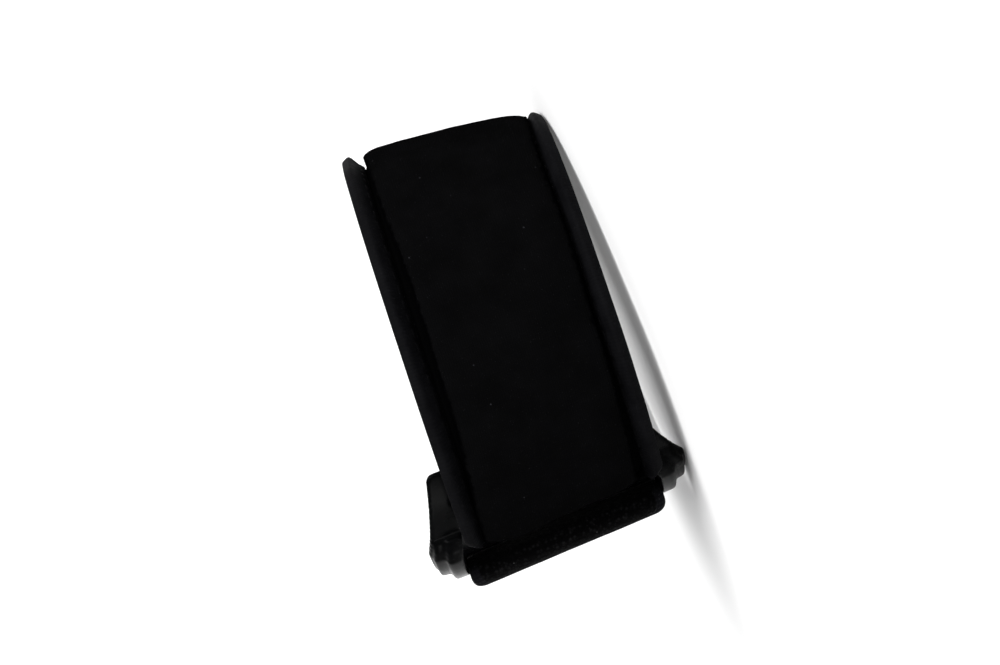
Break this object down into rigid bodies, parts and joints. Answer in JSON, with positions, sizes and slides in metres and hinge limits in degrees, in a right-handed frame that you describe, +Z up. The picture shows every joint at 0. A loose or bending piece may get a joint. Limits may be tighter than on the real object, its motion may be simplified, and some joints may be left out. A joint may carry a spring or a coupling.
{
  "type": "tennis elbow strap",
  "caption": "Padded counterforce strap closed into a loop: bound band with a raised outer panel, slip buckle, and a strap folded back over itself.",
  "frame": {"origin": "middle of the bounding box at the surface that the strap lies on", "axes": "+Z up, within 5 degrees of the axis of the loop, from the narrow edge to the wide edge; the buckle's side of the loop faces -X and the middle of the outer panel faces -Y"},
  "size_m": [0.11, 0.0992, 0.0663],
  "materials": {
    "band_foam": "matte knitted lining over foam",
    "binding_tape": "matte elastic tape",
    "panel_cloth": "matte fine knit",
    "strap_loop": "matte loop pile",
    "buckle_plastic": "satin gloss moulding",
    "tab_webbing": "matte plain weave"
  },
  "bodies": {
    "root": {"base_band": "band_foam", "edge_binding_narrow": "binding_tape", "edge_binding_wide": "binding_tape", "outer_panel": "panel_cloth", "closing_strap": "strap_loop", "buckle": "buckle_plastic", "buckle_tab": "tab_webbing"}
  },
  "joints": []
}
